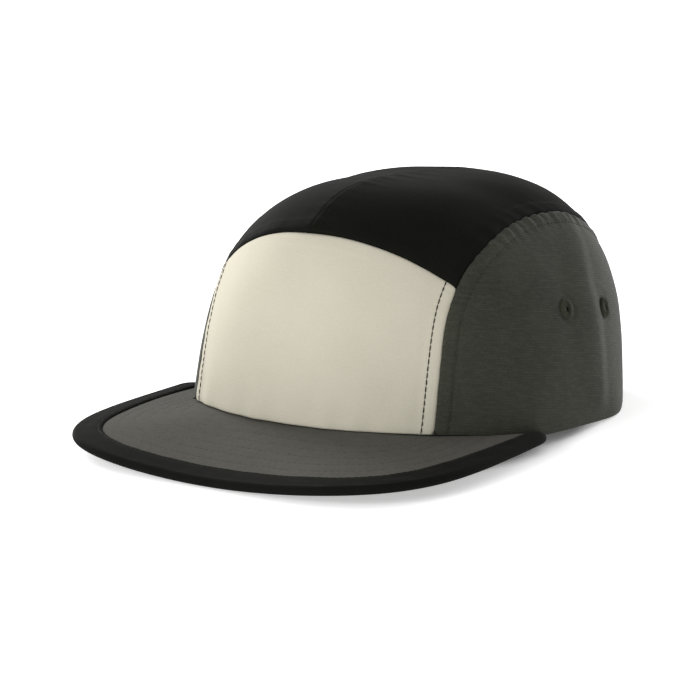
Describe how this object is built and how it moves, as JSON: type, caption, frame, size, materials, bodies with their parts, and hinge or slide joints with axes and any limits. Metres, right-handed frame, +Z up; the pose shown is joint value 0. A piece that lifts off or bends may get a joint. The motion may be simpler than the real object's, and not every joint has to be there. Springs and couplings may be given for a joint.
{
  "type": "five panel cap",
  "caption": "Five panel camper cap in woven cloth, with a light front panel, dark top panels, ribbed side panels, sewn eyelets, a flat bound peak and a strap with a slide behind.",
  "frame": {"origin": "on the table, under the middle of the whole cap", "axes": "the peak points to -Y, +X is the wearer's left, +Z is up"},
  "size_m": [0.177, 0.2558, 0.1017],
  "materials": {
    "cream_twill": "smooth brushed cotton, matte",
    "black_twill": "fine cotton twill, matte",
    "olive_ripstop": "finely ribbed woven nylon, matte",
    "grey_canvas": "fine mottled canvas, matte",
    "black_tape": "woven cotton tape, matte",
    "black_webbing": "flat woven webbing",
    "black_nylon": "moulded nylon, satin",
    "olive_thread": "satin stitched thread"
  },
  "bodies": {
    "root": {"front_panel": "cream_twill", "top_panel_left": "black_twill", "top_panel_right": "black_twill", "side_panel_left": "olive_ripstop", "side_panel_right": "olive_ripstop", "peak": "grey_canvas", "peak_binding": "black_tape", "sweatband": "black_tape", "back_strap": "black_webbing", "strap_slide": "black_nylon", "eyelet_left_front": "olive_thread", "eyelet_left_back": "olive_thread", "eyelet_right_front": "olive_thread", "eyelet_right_back": "olive_thread"}
  },
  "joints": []
}
